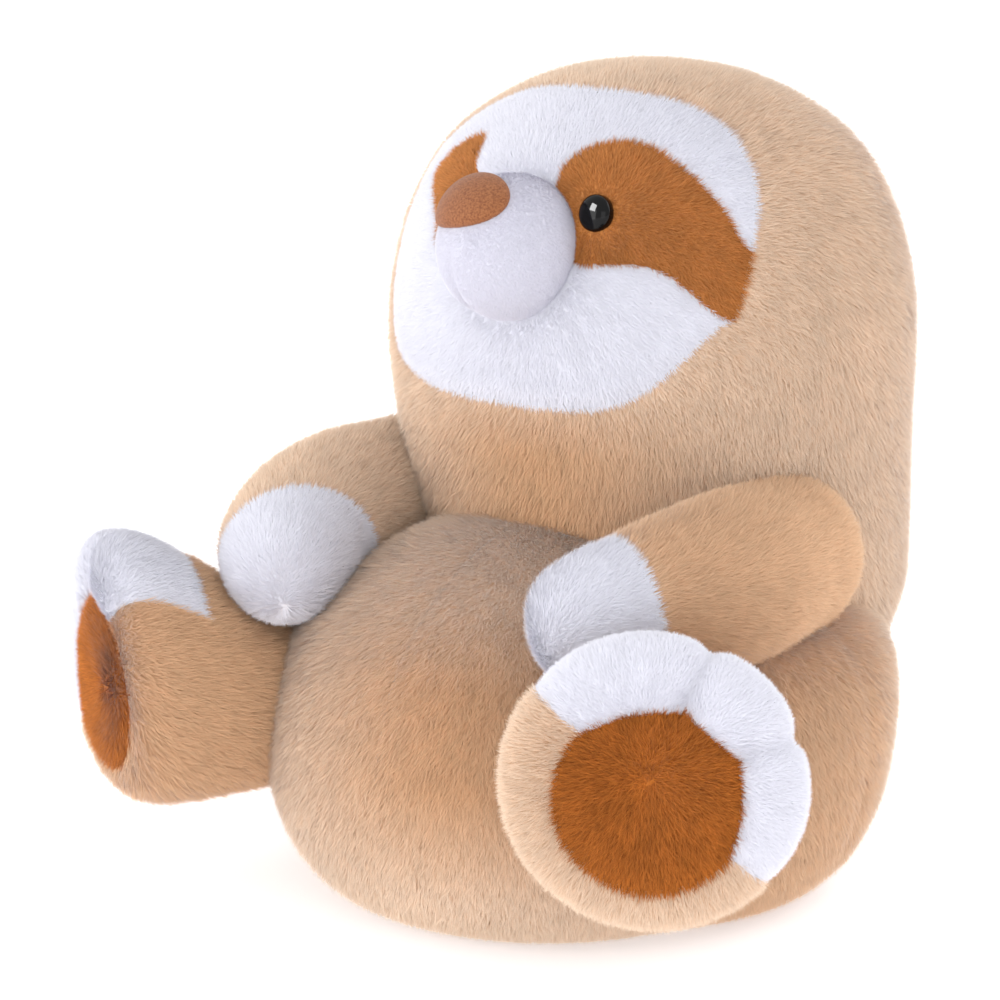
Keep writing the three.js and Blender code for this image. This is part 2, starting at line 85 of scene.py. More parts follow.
def laidOn(nap, normals):
    return unit(nap - (nap * normals).sum(1, keepdims=True) * normals)


def ramp(value, start, over):
    # 0 up to start, then rising to 1 over that width; a width under 0 runs the other way
    return np.clip((value - start) / over, 0, 1)


def groove(distance, depth, width):
    return depth * np.exp(-(distance / width) ** 2)


def directionOf(azimuth, elevation):
    # in degrees, as seen from the toy; azimuth 0 is in front of it
    a, e = radians(azimuth), radians(elevation)
    return np.array([sin(a) * cos(e), -cos(a) * cos(e), sin(e)])


def circle(sides):
    return np.linspace(0, 2 * pi, sides, endpoint=False)


def linked(name, data):
    thing = bpy.data.objects.new(name, data)
    bpy.context.scene.collection.objects.link(thing)
    return thing


def smoothLine(points, steps=14, ends=(None, None)):
    # a smooth line through the points; ends are the points beyond its two ends
    p = np.array(points, float)
    first = 2 * p[0] - p[1] if ends[0] is None else ends[0]
    last = 2 * p[-1] - p[-2] if ends[1] is None else ends[1]
    q = np.vstack([first, p, last])
    u = np.linspace(0, 1, steps, endpoint=False)[:, None]
    made = []
    for a, b, c, d in zip(q, q[1:], q[2:], q[3:]):
        square, cube = 2 * a - 5 * b + 4 * c - d, 3 * b - a - 3 * c + d
        made.append(0.5 * (2 * b + (c - a) * u + square * u ** 2 + cube * u ** 3))
    return np.vstack([*made, p[-1:]])


def evenly(line, step):
    length = np.concatenate([[0], np.cumsum(np.linalg.norm(np.diff(line, axis=0), axis=1))])
    at = np.linspace(0, length[-1], max(int(length[-1] / step), 2) + 1)
    return columns(*[np.interp(at, length, part) for part in line.T])


# Skins: dictionaries of points, the local coordinates that regions are told by, nap directions and faces

def closedGrid(rings, sides):
    # rings of points, then one pole point before the first ring and one after the last
    around = [(j, (j + 1) % sides) for j in range(sides)]
    low, last = rings * sides, (rings - 1) * sides
    faces = [(i + j, i + k, i + sides + k, i + sides + j) for i in range(0, last, sides) for j, k in around]
    return faces + [(low, k, j) for j, k in around] + [(low + 1, last + j, last + k) for j, k in around]


def meshOf(name, points, faces):
    mesh = bpy.data.meshes.new(name)
    mesh.from_pydata(points, [], faces)
    return mesh


def smoothMesh(name, points, faces):
    # points in millimetres about the part's own origin
    mesh = meshOf(name, ((points + originShift) * 0.001).tolist(), faces)
    mesh.polygons.foreach_set("use_smooth", [True] * len(mesh.polygons))
    return mesh


def normalsOf(points, faces):
    mesh = meshOf("scratch", points.tolist(), faces)
    found = np.zeros(len(points) * 3, np.float32)
    mesh.vertex_normals.foreach_get("vector", found)
    bpy.data.meshes.remove(mesh)
    return found.reshape(-1, 3).astype(float)


def facingOut(points, faces):
    # the faces turned to look outwards, with the normals at the points
    normals = normalsOf(points, faces)
    if ((points - points.mean(0)) * normals).sum() < 0:
        return [f[::-1] for f in faces], -normals
    return faces, normals


def splitAlong(skin, cut):
    # cuts the faces along the line where cut(local) is nought
    data = np.hstack([skin["points"], skin["local"], skin["nap"]])
    value = cut(skin["local"]).astype(float)

    def crossed(face):
        return min(value[v] for v in face) < 0 < max(value[v] for v in face)

    nearest = {}
    for f in filter(crossed, skin["faces"]):
        for a, b in zip(f, f[1:] + f[:1]):
            if value[a] * value[b] < 0:
                share = value[a] / (value[a] - value[b])
                for v, other, s in ((a, b, share), (b, a, 1 - share)):
                    if s < snapShare and s < nearest.get(v, (1,))[0]:
                        nearest[v] = (s, other)
    moved = {v: (1 - s) * data[v] + s * data[other] for v, (s, other) in nearest.items()}
    for v, row in moved.items():
        data[v], value[v] = row, 0
    value, extra, middles, faces = list(value), [], {}, []
    for f in skin["faces"]:
        if not crossed(f):
            faces.append(f)
            continue
        ring = []
        for a, b in zip(f, f[1:] + f[:1]):
            ring.append(a)
            if value[a] * value[b] < 0:
                low, high = min(a, b), max(a, b)
                if (low, high) not in middles:
                    share = value[low] / (value[low] - value[high])
                    middles[low, high] = len(data) + len(extra)
                    extra.append((1 - share) * data[low] + share * data[high])
                    value.append(0)
                ring.append(middles[low, high])
        zeros = [i for i, v in enumerate(ring) if value[v] == 0]
        if len(zeros) < 2:
            faces.append(f)
            continue
        i, j = zeros[0], zeros[-1]
        faces += [tuple(part) for part in (ring[i:j + 1], ring[j:] + ring[:i + 1]) if len(part) > 2]
    data = np.vstack([data, *extra])
    skin.update(points=data[:, :3], local=data[:, 3:6], nap=data[:, 6:], faces=faces)


def piecesOf(skin, regionOf):
    # the skin's faces shared out by region: {region: skin}
    centres = np.array([skin["local"][list(f)].mean(0) for f in skin["faces"]])
    names = regionOf(centres)
    made = {}
    for name in sorted({n for n in names if n}):
        faces = [f for f, n in zip(skin["faces"], names) if n == name]
        used = sorted({v for f in faces for v in f})
        place = {v: i for i, v in enumerate(used)}
        piece = {k: skin[k][used] for k in ("points", "local", "nap", "normals", "pile", "wear")}
        piece["faces"] = [tuple(place[v] for v in f) for f in faces]
        made[name] = piece
    return made


def clothObject(name, skin):
    # the panel's outer face, with what the pile needs to know at each point
    mesh = smoothMesh(name, skin["points"], skin["faces"])
    for key in ("nap", "pile", "wear"):
        kind, field = ("FLOAT_VECTOR", "vector") if key == "nap" else ("FLOAT", "value")
        layer = mesh.attributes.new(key, kind, "POINT")
        layer.data.foreach_set(field, skin[key].astype(np.float32).ravel())
    return linked(name, mesh)


# Trunk: an egg for the head and chest, and two flat-bottomed domes for the tummy and the rump

trunkSizes = {
    "rump": {"halfWidth": 118, "halfDepth": 106, "bottom": 0, "height": 119, "back": 9, "shares": [
        [0.6, 0], [0.75, 0.035], [0.87, 0.13], [0.95, 0.28], [0.99, 0.46], [1, 0.64], [0.96, 0.79], [0.83, 0.9],
        [0.54, 0.975], [0, 1]]},
    "tummy": {"halfWidth": 100, "halfDepth": 92, "bottom": 0, "height": 140, "back": -22, "shares": [
        [0.56, 0], [0.73, 0.03], [0.87, 0.11], [0.96, 0.23], [0.995, 0.36], [0.985, 0.5], [0.91, 0.65], [0.77, 0.78],
        [0.56, 0.89], [0.3, 0.97], [0, 1]]},
    "torso": {"halfWidth": 99, "halfDepth": 91, "bottom": 46, "height": 254, "back": 51, "shares": [
        [0, 0], [0.5, 0.03], [0.76, 0.1], [0.89, 0.2], [0.95, 0.33], [0.98, 0.47], [1, 0.6], [0.985, 0.69],
        [0.92, 0.785], [0.8, 0.87], [0.62, 0.935], [0.36, 0.983], [0, 1]]},
    "chestSetBack": 13, "shapeTop": 203, "waist": 105,
    "axis": [[0, 110, 240, 300], [14, 14, 48, 51]],  # heights, and y of the line that the rings are measured from
    "creaseSoftness": 2.2, "poleBlend": 20,
    "skinRise": 1.0,  # mm of the skin's face above the CAD face; the pile stands over both
    "baseTop": 2, "sideSeam": 20, "chestTop": 185.8, "lowerTop": 150, "floorGap": 0.4,
    "sides": 276, "baseShares": [0.06, 0.94, 26], "heightSteps": 1500, "slopeSides": 24, "steepest": 30,
    "seamWidth": 3.4, "frontSeamDepth": 0.6, "backSeamDepth": 1.0, "sideSeamDepth": 0.7,
    "chestRecess": 2.4, "faceSink": 1.8, "crownSink": 2.4, "chinHalfWidth": 62,
    "grooves": {"face": [1.0, 3], "chin": [2.6, 4.5], "muzzle": [1.4, 3.5], "patch": [0.8, 2.5]},  # depth, width
    "fades": {  # where each sets in and over how much, by height or by distance from the white face
        "seamLow": [8, 20], "seamHigh": [292, -20], "sideSeam": [250, -20], "crown": [268, 25], "chin": [200, -12],
        "seamOffFace": [0, 8], "faceSink": [0, -12], "chestIn": [0, 6], "chestOut": [0, 45]},
}
upperOutline = [[0, 1], [0.22, 0.995], [0.42, 0.975], [0.6, 0.93], [0.75, 0.865], [0.88, 0.765], [0.955, 0.66],
                [0.99, 0.55]]
faceSizes = {
    "halfWidth": 77, "bottom": 185.5, "top": 294.5, "cheekTop": 243,
    "outline": upperOutline + [
        [1, 0.43], [0.985, 0.32], [0.925, 0.285], [0.85, 0.21], [0.76, 0.135], [0.66, 0.07], [0.53, 0.025],
        [0.39, 0.005], [0.2, 0], [0, 0]],
    "rightOutline": upperOutline + [
        [1.01, 0.43], [1.02, 0.32], [1, 0.22], [0.95, 0.14], [0.85, 0.08], [0.7, 0.035], [0.53, 0.01],
        [0.39, 0.003], [0.2, 0], [0, 0]],
    "leftPatch": [
        [0.13, 0.66], [0.14, 0.73], [0.16, 0.79], [0.23, 0.838], [0.35, 0.86], [0.48, 0.845], [0.61, 0.8],
        [0.76, 0.725], [0.88, 0.635], [0.97, 0.54], [1.08, 0.46], [1.08, 0.34], [0.985, 0.31], [0.915, 0.34],
        [0.82, 0.405], [0.7, 0.468], [0.58, 0.488], [0.45, 0.485], [0.33, 0.485], [0.2, 0.53]],
    "rightPatch": [  # the face is turned and tilted a little, so this one is smaller and ends further in
        [0.395, 0.735], [0.42, 0.785], [0.45, 0.825], [0.53, 0.828], [0.62, 0.797], [0.7, 0.757], [0.765, 0.71],
        [0.775, 0.665], [0.71, 0.635], [0.64, 0.595], [0.58, 0.55], [0.55, 0.505], [0.48, 0.465], [0.38, 0.45],
        [0.27, 0.465], [0.18, 0.51], [0.14, 0.58], [0.16, 0.65], [0.24, 0.69], [0.33, 0.708]],
    "frontLimit": 45,  # mm, the outlines only count in front of this
    "eyeHalfSpan": 29, "eyeHeight": 256, "eyeBare": 6.2, "eyeParting": 13,
}
muzzleSizes = {"half": [24.5, 27, 26], "centre": [0, -36, 242], "skinRise": 0.2, "holeInset": 1.2,
               "mouthDepth": 1.3, "mouthWidth": 1.8, "mouthShift": -6, "mouthTop": 4, "mouthFade": 8,
               "napSpread": 0.8, "rows": 44, "sides": 76}
muzzleHalf, muzzleCentre = np.array(muzzleSizes["half"], float), np.array(muzzleSizes["centre"], float)
armSizes = {
    "pivot": [84, 12, 132], "rootRadius": 30, "radius": 30, "length": 119, "turn": 15, "pawLength": 36,
    # painted shade: how far each arm's pile colour is deepened to stand in for the shade on it
    "wear": {"left": 0.75, "right": 0.1},
    "farPawSlant": [0.5, -0.3],  # the right paw's seam leans: further in beside the belly, further out on top
    "tipReach": 34, "bend": 60, "bendTilt": 10, "sides": 76, "seatClearance": 1.2,
    "skinRise": -0.8, "shares": [[0.96, 0.14], [0.99, 0.3], [0.95, 0.5], [0.87, 0.68], [0.79, 0.82],
                                [0.61, 0.93], [0.34, 0.985], [0, 1]]}
legSizes = {
    "pivot": [86, -62, 67], "rootRadius": 33, "radius": 49.5, "length": 74, "turn": 33, "climb": 22,
    "sides": 124, "seatClearance": 1.2, "soleRadius": 31.5, "soleDrop": 6.3, "toeCapLength": 30,
    # painted shade: how far each leg's pile colour is deepened to stand in for the shade on it (the wear values below)
    "wear": {"left": 0.1, "right": 0.9}, "farSoleShift": 9,  # mm inwards: the right foot is turned in a little
    "soleInset": 0.3, "footStart": 0.8, "angleRadius": 10, "edgeGroove": [1.2, 3],
    "capFade": -6, "capRim": [-3, 4], "toeSwell": 1.6,
    "toeBreaks": [-36, 26, 70, 136],  # degrees round the sole, from the outer side over the top
    "farToeEnd": 125, "farToeCapLength": 35,  # the right foot's white band, as the photo shows it
    "lobeDepth": 2.2, "creaseDepth": 2.2, "creaseWidth": 4, "soleBulge": 3.2, "skinRise": -0.6,
    "soleCrown": {"left": [0, 2, 74], "right": [26, -4, 74]},  # where the pile of the sole parts
    "shares": [[0.7, 0.1], [0.8, 0.3], [0.93, 0.54], [1, 0.73], [0.97, 0.87], [0.84, 0.955], [0.64, 0.99],
               [0, 1]]}
limbSizes = {
    "arm": armSizes, "leg": legSizes,
    "ballInset": 1.6, "seatBand": 0.4, "clearance": 0.6,  # mm: of the ball in its seat, and between two skins
    "ballBlend": 22, "napStep": 0.5}
limbSides = [(limb, sign) for limb in ("arm", "leg") for sign in signs.values()]
shoulder = next(joint for joint in frame["joints"] if joint["name"] == "shoulder_left")
originShift = np.array([0, 1000 * shoulder["pos_m"][1] - armSizes["pivot"][1], 0])  # mm, to the frame


def shareLine(form):
    # the form's radius as a share of its half width, against height
    shares = np.array(form["shares"], float) * [form["halfWidth"], form["height"]]
    bottom = shares[1] * [-1, 1] if shares[0][0] == 0 else None
    line = smoothLine(shares, 24, (bottom, shares[-2] * [-1, 1]))
    line[:, 1] = np.maximum.accumulate(line[:, 1])
    return line[:, 1] + form["bottom"], np.maximum(line[:, 0], 0) / form["halfWidth"]


shareLines = {name: shareLine(trunkSizes[name]) for name in ("rump", "tummy", "torso")}


def trunkAxis(z):
    return np.interp(z, *trunkSizes["axis"])


def trunkReaches(theta, z):
    # how far rump, tummy and torso each reach from the axis line at an angle and a height
    reaches = []
    start = trunkAxis(z)
    across, back = np.cos(theta), np.sin(theta)
    for name, line in shareLines.items():
        form = trunkSizes[name]
        share = np.interp(z, *line, left=0, right=0)
        centre = form["back"]
        if name == "torso":
            fall = (trunkSizes["shapeTop"] - z) / (trunkSizes["shapeTop"] - trunkSizes["waist"])
            centre = centre + trunkSizes["chestSetBack"] * np.clip(fall, 0, 1) ** 2
        a, b = np.maximum(share * form["halfWidth"], 1e-4), np.maximum(share * form["halfDepth"], 1e-4)
        p = (across / a) ** 2 + (back / b) ** 2
        q = 2 * back * (start - centre) / b ** 2
        r = ((start - centre) / b) ** 2 - 1
        inside = q ** 2 - 4 * p * r
        found = (inside > 0) & (share > 0)
        reaches.append(np.where(found, (np.sqrt(np.maximum(inside, 0)) - q) / (2 * p), 0))
    return np.maximum(np.array(reaches), 0)


def trunkRadius(theta, z):
    reaches = trunkReaches(theta, z)
    soft = trunkSizes["creaseSoftness"]
    most = reaches.max(0)
    return most + soft * np.log(np.exp((reaches - most) / soft).sum(0)) * ramp(most, 0, trunkSizes["poleBlend"])


def closedOutline(shares, side):
    p = np.array(shares, float)
    p = p * [side * faceSizes["halfWidth"], faceSizes["top"] - faceSizes["bottom"]] + [0, faceSizes["bottom"]]
    return smoothLine(np.vstack([p, p[:1]]), 6, (p[-1], p[1]))


def outlineDistance(line, at):
    # signed distance to a closed outline, minus inside
    best = np.full(len(at), 1e9)
    inside = np.zeros(len(at), bool)
    for p, q in zip(line, line[1:]):
        along = q - p
        t = np.clip(((at - p) @ along) / max(along @ along, 1e-9), 0, 1)
        best = np.minimum(best, np.hypot(*(at - p - t[:, None] * along).T))
        if p[1] != q[1]:
            over = (p[1] > at[:, 1]) != (q[1] > at[:, 1])
            inside ^= over & (at[:, 0] < (q[0] - p[0]) * (at[:, 1] - p[1]) / (q[1] - p[1]) + p[0])
    return np.where(inside, -best, best)


farSide = [[-x, z] for x, z in faceSizes["rightOutline"][-2:0:-1]]
faceLines = {"face": closedOutline(faceSizes["outline"] + farSide, 1),
             "left": closedOutline(faceSizes["leftPatch"], 1), "right": closedOutline(faceSizes["rightPatch"], -1)}


def patchDistance(p, name):
    # minus on a patch, or on the white face with the patches
    return np.maximum(outlineDistance(faceLines[name], p[:, [0, 2]]), p[:, 1] - faceSizes["frontLimit"])


def faceDistance(p):
    return patchDistance(p, "face")


def ballDistance(p, limb, side):
    s = limbSizes[limb]
    centre = np.array(s["pivot"], float) * [side, 1, 1]
    return np.linalg.norm(p - centre, axis=1) - s["rootRadius"] - s["seatClearance"]


def muzzleDistance(p):
    return (np.linalg.norm((p - muzzleCentre) / muzzleHalf, axis=1) - 1) * muzzleHalf.mean()


def lowerDistance(p):
    # minus on the lower body, plus on the upper body
    theta = np.arctan2(p[:, 1] - trunkAxis(p[:, 2]), p[:, 0])
    rump, tummy, torso = trunkReaches(theta, p[:, 2])
    return torso - np.maximum(rump, tummy)


def trunkRegion(p):
    x, y, z = p.T
    holes = muzzleDistance(p) < -muzzleSizes["holeInset"]
    for limb, sign in limbSides:
        holes |= ballDistance(p, limb, sign) < 0
    face, front = faceDistance(p) < 0, y < trunkSizes["sideSeam"]
    patch = face & (np.where(x > 0, patchDistance(p, "left"), patchDistance(p, "right")) < 0)
    lower = (lowerDistance(p) < 0) & (z < trunkSizes["lowerTop"])
    side = np.where(x > 0, "left", "right")

    def named(part):
        return np.char.add(part + "_", side)

    return np.select(
        [holes, z < trunkSizes["baseTop"], lower & front, lower, patch, face & (z > faceSizes["cheekTop"]), face,
         front & (z < trunkSizes["chestTop"])],
        ["", "base_panel", named("belly"), named("rump"), named("eye_patch"), "forehead_panel", "cheek_panel",
         named("chest")], named("hood")).tolist()


napSizes = {  # strengths are shares of the nap's own, lengths are mm
    "crownRise": [270, 30], "crownCentre": [0, -60, 300], "muzzleDrop": 8, "faceReach": 30, "faceFall": 0.35,
    "eyeDepth": -30, "patchFlatness": 0.6, "patchEdge": 4, "patchFall": 0.15,
    "stray": 0.2, "poleStray": 0.8, "poleReach": 9, "poleCore": 1.6, "tipRise": 2.2}


def trunkNap(p, normals):
    # the way the pile lies: down the body, outwards from the muzzle on the face, away from the eyes on the patches
    s = napSizes
    down = np.tile([0.0, 0.0, -1.0], (len(p), 1))
    nap = down + ramp(p[:, 2], *s["crownRise"])[:, None] * unit(p - s["crownCentre"])
    fromMuzzle = unit(p - muzzleCentre + [0, 0, s["muzzleDrop"]])
    near = 1 - ramp(faceDistance(p), 0, s["faceReach"])[:, None]
    nap = (1 - near) * nap + near * (fromMuzzle + s["faceFall"] * down)
    for side, sign in signs.items():
        eye = np.array([sign * faceSizes["eyeHalfSpan"], s["eyeDepth"], faceSizes["eyeHeight"]])
        away = unit((p - eye) * [1, s["patchFlatness"], 1])
        edge = np.maximum(patchDistance(p, side), faceDistance(p))
        inPatch = np.clip(0.5 - edge / s["patchEdge"], 0, 1)[:, None]
        nap = (1 - inPatch) * nap + inPatch * (away + s["patchFall"] * down)
    return laidOn(nap, normals)


def trunkSkin():
    s = trunkSizes
    heights = np.linspace(0, s["torso"]["bottom"] + s["torso"]["height"], s["heightSteps"])
    reach = trunkRadius(circle(s["slopeSides"])[:, None], heights[None, :])
    slope = np.minimum(np.abs(np.diff(reach, axis=1)).max(0) / np.diff(heights), s["steepest"])
    length = np.concatenate([[0], np.cumsum(np.hypot(1, slope) * np.diff(heights))])
    rings = np.interp(np.linspace(0, length[-1], int(length[-1] / cellSize)), length, heights)[:-1]
    sides = s["sides"]
    theta = circle(sides)
    points = []
    base = [(share, 0.0) for share in np.linspace(*s["baseShares"])]
    for share, z in base + [(1, z) for z in rings]:
        r = trunkRadius(theta, np.full(sides, z)) * share
        points.append(columns(r * np.cos(theta), trunkAxis(z) + r * np.sin(theta), np.full(sides, z)))
    faces = closedGrid(len(points), sides)
    points = np.vstack([*points, [[0, trunkAxis(z), z] for z in (0, heights[-1])]])
    normals = normalsOf(points, faces)
    x, y, z = points.T
    toFace, fades, grooves = faceDistance(points), s["fades"], s["grooves"]
    depth = np.where(y < s["sideSeam"], s["frontSeamDepth"], s["backSeamDepth"]) * ramp(toFace, *fades["seamOffFace"])
    depth = depth * ramp(z, *fades["seamLow"]) * ramp(z, *fades["seamHigh"])
    sink = groove(x, depth, s["seamWidth"]) - s["skinRise"]
    sink += groove(y - s["sideSeam"], s["sideSeamDepth"] * ramp(z, *fades["sideSeam"]), s["seamWidth"])
    sink += groove(toFace, *grooves["face"]) + s["faceSink"] * ramp(toFace, *fades["faceSink"])
    sink += s["crownSink"] * ramp(z, *fades["crown"])
    chin = ramp(z, *fades["chin"]) * (1 - ramp(np.abs(x), 0, s["chinHalfWidth"])) ** 0.5 * (y < 0)
    sink += groove(toFace - 1, *grooves["chin"]) * chin
    sink += s["chestRecess"] * chin * ramp(toFace, *fades["chestIn"]) * (1 - ramp(toFace, *fades["chestOut"]))
    sink += groove(muzzleDistance(points) - 1, *grooves["muzzle"])
    for side in signs:
        sink += groove(patchDistance(points, side), *grooves["patch"]) * (toFace < 0)
    sunk = points - sink[:, None] * normals
    sunk[:, 2] = np.maximum(sunk[:, 2], s["floorGap"])
    return {"local": points, "points": sunk, "nap": trunkNap(points, normals), "faces": faces}


def searchTree(skin):
    return BVHTree.FromPolygons(skin["points"].tolist(), skin["faces"])


def ruffle(skin, poles):
    # the pile lies a little this way and that from tuft to tuft, and every way where its directions meet
    chance = np.random.default_rng(7)
    stray = np.full(len(skin["points"]), napSizes["stray"])
    for pole in poles:
        away = np.linalg.norm(skin["local"] - pole, axis=1) / napSizes["poleReach"]
        near = np.clip(napSizes["poleCore"] - away, 0, 1)
        stray = np.maximum(stray, napSizes["poleStray"] * near)
    skin["nap"] = unit(skin["nap"] + stray[:, None] * chance.normal(size=skin["nap"].shape))


def finishSkin(skin, cuts, pileOf, paintedShadeOf, poles=()):
    ruffle(skin, poles)
    for cut in cuts:
        splitAlong(skin, cut)
    skin["normals"] = normalsOf(skin["points"], skin["faces"])
    skin["pile"] = pileOf(skin)
    skin["wear"] = paintedShadeOf(skin)


pileShares = {  # of the pile's own length; floorOver and muzzleOver are mm
    "eyeEdge": 0.35, "floor": 0.3, "floorOver": 14, "muzzle": 0.5, "muzzleOver": 12, "muzzleLeast": 0.4,
    "face": 0.82, "toeCap": 0.9}


def trunkPile(skin):
    # how long the pile is, as a share: parted round the eyes, pressed flat under the toy
    s = pileShares
    p = skin["local"]
    length = np.ones(len(p))
    for sign in signs.values():
        x = p[:, 0] - sign * faceSizes["eyeHalfSpan"]
        off = np.hypot(x, p[:, 2] - faceSizes["eyeHeight"] + eyeSizes["drop"])
        off = np.where(p[:, 1] > faceSizes["frontLimit"], faceSizes["eyeParting"], off)
        near = ramp(off, faceSizes["eyeBare"], faceSizes["eyeParting"] - faceSizes["eyeBare"])
        length *= np.where(off < faceSizes["eyeBare"], 0, s["eyeEdge"] + (1 - s["eyeEdge"]) * near)
    length *= np.clip(s["floor"] + p[:, 2] / s["floorOver"], 0, 1)
    length *= np.clip(s["muzzle"] + muzzleDistance(p) / s["muzzleOver"], s["muzzleLeast"], 1)
    return length * np.where(faceDistance(p) < 0, s["face"], 1)


paintedShadeSizes = {  # mm; pairs say where the painted shade sets in and over how much
    "bellyCentre": 30, "chestCentre": 12, "width": 50, "front": [10, -30], "foot": [25, 40],
    "bellyTop": [124, -26], "chestTop": [196, -25],
    "flank": 0.7, "flankOut": [70, 20], "flankTop": [130, -20], "flankBack": [60, -30]}


def trunkPaintedShade(skin):
    # painted shade: a deeper colour laid on the belly, the chest and the left flank, where shade and bounced light
    # fall on the pile
    s = paintedShadeSizes
    x, y, z = skin["local"].T
    lower = lowerDistance(skin["local"]) < 0
    centre = np.where(lower, s["bellyCentre"], s["chestCentre"])
    across = np.exp(-((x - centre) / s["width"]) ** 2) * ramp(y, *s["front"])
    above = np.where(lower, ramp(z, *s["bellyTop"]), ramp(z, *s["chestTop"]))
    flank = s["flank"] * ramp(x, *s["flankOut"]) * ramp(z, *s["flankTop"]) * ramp(y, *s["flankBack"])
    return np.maximum(across * ramp(z, *s["foot"]) * above, flank)


# Limbs: a half ball in its seat, then a bent or climbing sack

def limbBasis(limb, side):
    s = limbSizes[limb]
    turn = radians(side * s["turn"])
    along = np.array([sin(turn), -cos(turn), 0])
    sideways = np.array([cos(turn), sin(turn), 0])
    upwards = np.cross(along, sideways)
    return np.stack([sideways, upwards, along]), np.array(s["pivot"], float) * [side, 1, 1]


def shapedLimb(limb, side, p):
    # the straight form bent as an arm, or climbing as a leg, and put in its place
    s = limbSizes[limb]
    p = p.copy()
    if limb == "leg":
        p[:, 1] += s["climb"] * np.maximum(p[:, 2], 0) / s["length"]
    else:
        tilt = radians(s["bendTilt"])
        towards = np.array([-side * cos(tilt), -sin(tilt)])
        arc = s["length"] / radians(s["bend"])
        inwards = p[:, :2] @ towards
        turn = np.maximum(p[:, 2], 0) / arc
        moved = arc - (arc - inwards) * np.cos(turn)
        past = p[:, 2] > 0
        p[:, :2] += np.where(past, moved - inwards, 0)[:, None] * towards
        p[:, 2] = np.where(past, (arc - inwards) * np.sin(turn), p[:, 2])
    basis, pivot = limbBasis(limb, side)
    return p @ basis + pivot


def limbSkin(limb, side, keepOff):
    s = limbSizes[limb]
    root, length = s["rootRadius"], s["length"]
    arc = [[root * cos(a), root * sin(a)] for a in np.linspace(-pi / 2, 0, 13)]
    body = [[r * s["radius"], z * length] for r, z in s["shares"]]
    tip = [-body[-2][0], body[-2][1]]
    line = np.vstack([arc[:-1], smoothLine([arc[-1], *body], 14, (arc[-2], tip))])
    line = evenly(line, cellSize)
    line[:, 0] = np.maximum(line[:, 0], 0)
    tangent = unit(np.gradient(line, axis=0))
    sides = s["sides"]
    phi = circle(sides)

    def around(rings):
        return [columns(r * np.cos(phi), r * np.sin(phi), np.full(sides, z)) for r, z in rings]

    local = np.vstack([*around(line[1:-1]), [[0, 0, line[0][1]], [0, 0, line[-1][1]]]])
    ways = np.vstack([*around(tangent[1:-1]), [[1, 0, 0], [1, 0, 0]]])
    points = shapedLimb(limb, side, local)
    nap = unit(points - shapedLimb(limb, side, local + limbSizes["napStep"] * ways))  # back from the tip, over the rim
    faces, normals = facingOut(points, closedGrid(len(line) - 2, sides))
    out = ramp(local[:, 2], 0, limbSizes["ballBlend"])
    sink = (1 - out) * limbSizes["ballInset"] - out * s["skinRise"]
    if limb == "leg":
        sink += toeSink(local, side)
    points = points - sink[:, None] * normals
    if limb == "arm":  # the pile's parting lies under the tip
        near = 1 - ramp(np.linalg.norm(local - [0, 0, length], axis=1), 0, s["tipReach"])
        nap = unit(nap + napSizes["tipRise"] * near[:, None] * [0, 0, 1])
    skin = {"points": points, "local": local, "nap": nap, "faces": faces}
    for tree in keepOff:
        pressAway(skin, tree, limb, side)
    return skin


def pressAway(skin, tree, limb, side):
    # moves what lies in a neighbour out to its face, but not the ball in its seat
    points = skin["points"]
    seat = ballDistance(points, limb, side) + limbSizes[limb]["seatClearance"]
    clear = limbSizes["clearance"]
    for i in np.where(seat > limbSizes["seatBand"])[0]:
        place, normal, *_ = tree.find_nearest(Vector(points[i]))
        if place is None:
            continue
        gap = (Vector(points[i]) - place).dot(normal)
        if gap < clear:
            points[i] = np.array(place + normal * clear)


def soleAngle(local, side):
    # degrees round the sole's centre, from the outer side over the top, and the distance from it
    s = legSizes
    x, y = local[:, 0] * side + (s["farSoleShift"] if side < 0 else 0), local[:, 1] + s["soleDrop"]
    return np.degrees(np.arctan2(y, x)), np.hypot(x, y)


def lobeShare(angle):
    # 0 at a break between toes, 1 in the middle of a toe
    breaks = legSizes["toeBreaks"]
    share = np.zeros(len(angle))
    for a, b in zip(breaks, breaks[1:]):
        swell = np.maximum(np.sin(pi * (angle - a) / (b - a)), 0) ** 0.7
        share = np.where((angle >= a) & (angle <= b), swell, share)
    return share


def soleDistance(local, side):
    # minus on the sole
    s = legSizes
    angle, radius = soleAngle(local, side)
    edge = s["soleRadius"] - s["soleInset"] - s["lobeDepth"] * lobeShare(angle)
    return np.maximum(radius - edge, (s["footStart"] * s["length"] - local[:, 2]))


def toeDistance(local, side):
    # minus on the white toe cap
    s = legSizes
    angle, radius = soleAngle(local, side)
    first, last = s["toeBreaks"][0], s["farToeEnd"] if side < 0 else s["toeBreaks"][-1]
    middle, half = (first + last) / 2, (last - first) / 2
    past = np.abs((angle - middle + 180) % 360 - 180) - half
    past = past * pi / 180 * np.maximum(radius, s["angleRadius"])
    back = s["length"] - s["farToeCapLength" if side < 0 else "toeCapLength"] - local[:, 2]
    return np.maximum(past, back)


def toeSink(local, side):
    s = legSizes
    angle, radius = soleAngle(local, side)
    sink = np.zeros(len(local))
    onCap = ramp(toeDistance(local, side), 0, s["capFade"]) * ramp(radius - s["soleRadius"], *s["capRim"])
    for middle in s["toeBreaks"][1:-1]:
        off = np.radians(angle - middle) * radius
        sink += groove(off, s["creaseDepth"], s["creaseWidth"]) * onCap
    sole = soleDistance(local, side)
    sink += groove(sole, *s["edgeGroove"]) * (local[:, 2] > s["footStart"] * s["length"])
    sink -= s["toeSwell"] * onCap * lobeShare(angle)
    onSole = ramp(sole, 0, -s["soleRadius"])
    return sink - s["soleBulge"] * np.sin(onSole * pi / 2)


